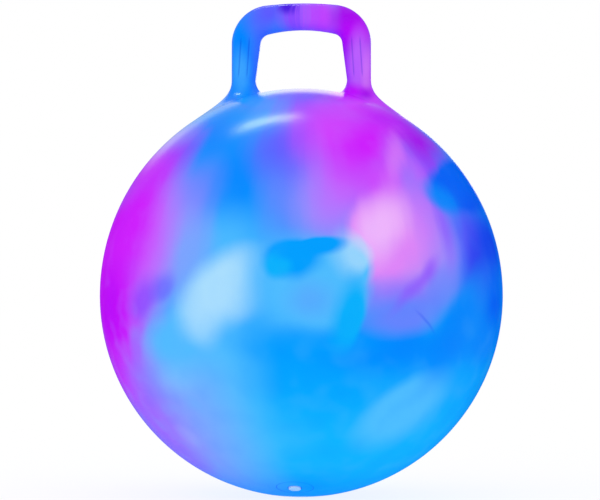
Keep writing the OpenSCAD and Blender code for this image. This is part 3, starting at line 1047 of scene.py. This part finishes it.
def vinyl(name, marbling, fluted=False):
    """Glossy soft vinyl, marbled right through, with the faint orange peel of its mould. It also glows
    faintly in its own colour, a painted light that stands for light coming through the thin skin from
    inside and evens out the shade."""
    material, tree = new_material(name)
    colour = tree.add("Group", {"node_tree": marbling}).outputs["Colour"]
    # Painted shade down the flutes of the legs
    if fluted:
        colour = add_flute_shade(tree, colour)
    place = tree.place()
    blotches = tree.noise(place, BLOTCH_SCALE, FINE_DETAIL)
    roughness = tree.ramp(blotches, *NOISE_PART, *VINYL_ROUGHNESS)
    bump = tree.relief(place, *PEEL)
    # The emission is a painted glow in the vinyl's own colour, which evens out its shade
    shader = tree.add("BsdfPrincipled", Base_Color=colour, Roughness=roughness, Normal=bump,
                      Specular_IOR_Level=VINYL_SPECULAR, Specular_Tint=VINYL_TINT,
                      Emission_Color=colour, Emission_Strength=PAINTED_GLOW_SHARE)
    tree.finish(shader.outputs[0])
    return material


def plug_plastic():
    """Slightly clouded white plastic, satin, with faint scuffs."""
    material, tree = new_material("plug_plastic")
    place = tree.place()
    clouds = tree.noise(place, PLASTIC_SCALE, FINE_DETAIL)
    colour = tree.mix(clouds, linear(PLASTIC_CLOUDED), linear(PLASTIC_CLEAR))
    roughness = tree.ramp(clouds, *NOISE_PART, *PLASTIC_ROUGHNESS)
    bump = tree.relief(place, *SCUFFS)
    shader = tree.add("BsdfPrincipled", Base_Color=colour, Roughness=roughness, Normal=bump,
                      Specular_IOR_Level=PLASTIC_SPECULAR)
    tree.finish(shader.outputs[0])
    return material


def dress(piece, material, body, slot, *nodes):
    piece.data.materials.clear()
    piece.data.materials.append(material)
    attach(piece, body)
    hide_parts(*nodes)


def toward_camera():
    return Vector((math.sin(CAMERA_TURN), -math.cos(CAMERA_TURN), 0))


def hide_from(thing, *rays):
    for ray in rays:
        setattr(thing, "visible_" + ray, False)


def only_mirrored(piece, material):
    """Gives a piece its material, and hides it so that nothing but a reflection shows it."""
    piece.data.materials.append(material)
    hide_from(piece, "camera", "diffuse", "transmission", "shadow")


def seen_or_mirrored(tree):
    """1 for what the camera sees, directly or mirrored, and 0 for what only lights others."""
    rays = tree.add("LightPath").outputs
    seen = tree.math("MAXIMUM", rays["Is Camera Ray"], rays["Is Glossy Ray"])
    return tree.math("MAXIMUM", seen, rays["Is Transmission Ray"])


def make_world():
    """White where it is seen or mirrored, and a plain soft light on everything else."""
    world = bpy.data.worlds.new("studio")
    bpy.context.scene.world = world
    world.use_nodes = True
    world.node_tree.nodes.clear()
    tree = Tree(world.node_tree)
    soft, white = (tree.add("Background", Color=WHITE, Strength=level).outputs[0]
                   for level in (AMBIENT, 1.0))
    tree.finish(tree.mixed(seen_or_mirrored(tree), soft, white), "World")


def make_floor():
    """A pale floor. Most of its white is its own where it is seen, as much as makes it white far from the
    object, and the object's shadow stays on it."""
    corners = [(x * FLOOR_HALF, y * FLOOR_HALF, 0) for x, y in ((-1, -1), (1, -1), (1, 1), (-1, 1))]
    floor = piece_from("floor", corners, [(0, 1, 2, 3)])
    material, tree = new_material("floor_white")
    lit = tree.add("BsdfDiffuse", Color=(FLOOR_ALBEDO, FLOOR_ALBEDO, FLOOR_ALBEDO, 1)).outputs[0]
    own = tree.glow((1 - (1 - FLOOR_OWN) * FLOOR_ALBEDO * AMBIENT) / FLOOR_OWN)
    factor = tree.math("MULTIPLY", seen_or_mirrored(tree), FLOOR_OWN)
    tree.finish(tree.mixed(factor, lit, own))
    floor.data.materials.append(material)


def make_key_light():
    """A round soft lamp that never shows itself."""
    light = bpy.data.lights.new("key", "AREA")
    light.shape = "DISK"
    light.size = KEY_SIZE
    light.energy = KEY_POWER
    lamp = bpy.data.objects.new("key", light)
    lamp.location = KEY_PLACE
    aim = BALL_MIDDLE - lamp.location
    lamp.rotation_euler = aim.to_track_quat("-Z", "Y").to_euler()
    hide_from(lamp, "camera", "glossy")
    bpy.context.scene.collection.objects.link(lamp)


def make_light_table():
    """A disc of light on the floor under the ball, for its underside. Nothing sees or mirrors it."""
    turns = [2 * math.pi * k / TABLE_POINTS for k in range(TABLE_POINTS)]
    verts = [(TABLE_R * math.cos(turn), TABLE_R * math.sin(turn), TABLE_UP) for turn in turns]
    table = piece_from("light_table", verts, [tuple(range(TABLE_POINTS))])
    material, tree = new_material("light_table")
    below = tree.add("NewGeometry").outputs["Backfacing"]
    glow = tree.glow(tree.math("MULTIPLY", tree.math("SUBTRACT", 1.0, below), TABLE_GLOW))
    clear = tree.add("BsdfTransparent").outputs[0]
    tree.finish(tree.add("AddShader", i0=glow, i1=clear).outputs[0])
    table.data.materials.append(material)
    hide_from(table, "camera", "glossy", "transmission", "shadow")


def make_tent():
    """A closed tent of dim coloured cloth, floor and all, that only shows as a reflection. It keeps the
    ball's colours full up to its outline."""
    profile = [(0, TENT_UP), (TENT_R, TENT_UP)]
    for i in range(1, TENT_STEPS):
        turn = math.pi / 2 * i / TENT_STEPS
        profile.append((TENT_R * math.cos(turn), TENT_UP + TENT_R * math.sin(turn)))
    profile.append((0, TENT_UP + TENT_R))
    tent = piece_from("tent", *revolved(profile, TENT_SEGMENTS))
    tidy(tent)
    material, tree = new_material("tent_cloth")
    across = tree.parts(tree.place())[0]
    to_left = tree.ramp(across, 0.0, -TENT_TURN_X)
    to_right = tree.ramp(across, 0.0, TENT_TURN_X)
    colour = tree.mix(to_right, tree.mix(to_left, TENT_MIDDLE, TENT_LEFT), TENT_RIGHT)
    tree.finish(tree.glow(1.0, colour))
    only_mirrored(tent, material)


def card_mesh(name, polar, turn, reach):
    """A patch of a sphere round the ball, with a UV map of 0 to 1 over it."""
    axis = toward_camera()
    right = Vector((math.cos(CAMERA_TURN), math.sin(CAMERA_TURN), 0))
    row = CARD_STEPS + 1
    verts = []
    for i in range(row):
        off = math.radians(polar[0] + (polar[1] - polar[0]) * i / CARD_STEPS)
        for k in range(row):
            round_it = math.radians(turn[0] + (turn[1] - turn[0]) * k / CARD_STEPS)
            side = Vector((0, 0, 1)) * math.cos(round_it) + right * math.sin(round_it)
            verts.append(BALL_MIDDLE + (axis * math.cos(off) + side * math.sin(off)) * reach)
    faces = [(i * row + k, i * row + k + 1, (i + 1) * row + k + 1, (i + 1) * row + k)
             for i in range(CARD_STEPS) for k in range(CARD_STEPS)]
    card = piece_from(name, verts, faces)
    uv = card.data.uv_layers.new(name="across")
    for loop in card.data.loops:
        at = loop.vertex_index
        uv.data[loop.index].uv = (at % row / CARD_STEPS, at // row / CARD_STEPS)
    return card


def mirror_card(name, polar, turn, strength, reach, least):
    """A curved soft-edged card that only shows as a reflection. With a least share it isn't soft at its
    far edge, but dims to that share, as the ball mirrors more near its outline."""
    material, tree = new_material(name)
    parts = tree.parts(tree.add("UVMap", {"uv_map": "across"}).outputs[0])
    fade = tree.smooth(tree.math("PINGPONG", parts[0], 0.5), 0.0, CARD_EDGE)
    if least is None:
        near = tree.math("PINGPONG", parts[1], 0.5)
        level = strength
        edge = CARD_EDGE
    else:
        near = parts[1]
        level = tree.smooth(near, 0.0, 1.0, strength, strength * least)
        edge = CARD_EDGE / 3
    fade = tree.math("MULTIPLY", tree.smooth(near, 0.0, edge), fade)
    glow = tree.glow(level)
    clear = tree.add("BsdfTransparent").outputs[0]
    tree.finish(tree.mixed(fade, clear, glow))
    only_mirrored(card_mesh(name, polar, turn, reach), material)


def make_camera():
    """Stands at the height of the ball's middle, and looks so that the middle lands on BALL_PX."""
    data = bpy.data.cameras.new("camera")
    data.sensor_width = SENSOR
    data.lens = FOCAL_PX * SENSOR / PHOTO_W
    camera = bpy.data.objects.new("camera", data)
    camera.location = BALL_MIDDLE + toward_camera() * CAMERA_REACH
    pitch = math.atan((BALL_PX[1] - PHOTO_H / 2) / FOCAL_PX)
    yaw = math.atan((BALL_PX[0] - PHOTO_W / 2) / FOCAL_PX)
    camera.rotation_euler = (math.pi / 2 + pitch, 0, CAMERA_TURN + yaw)
    bpy.context.scene.collection.objects.link(camera)
    bpy.context.scene.camera = camera


make_camera()
marbling = marbling_group()
dress(make_ball(), vinyl("ball_vinyl", marbling), "ball", "ball_vinyl", "ball_skin")
dress(make_loop(), vinyl("loop_vinyl", marbling, fluted=True), "ball", "loop_vinyl", "handle_loop")
dress(make_seat(), vinyl("seat_vinyl", marbling), "ball", "seat_vinyl", "valve_seat")
dress(make_plug(), plug_plastic(), "plug", "plug_plastic", "valve_plug")
make_world()
make_floor()
make_key_light()
make_light_table()
make_tent()
for card in MIRROR_CARDS:
    mirror_card(*card)
bpy.context.scene.view_settings.view_transform = "Standard"
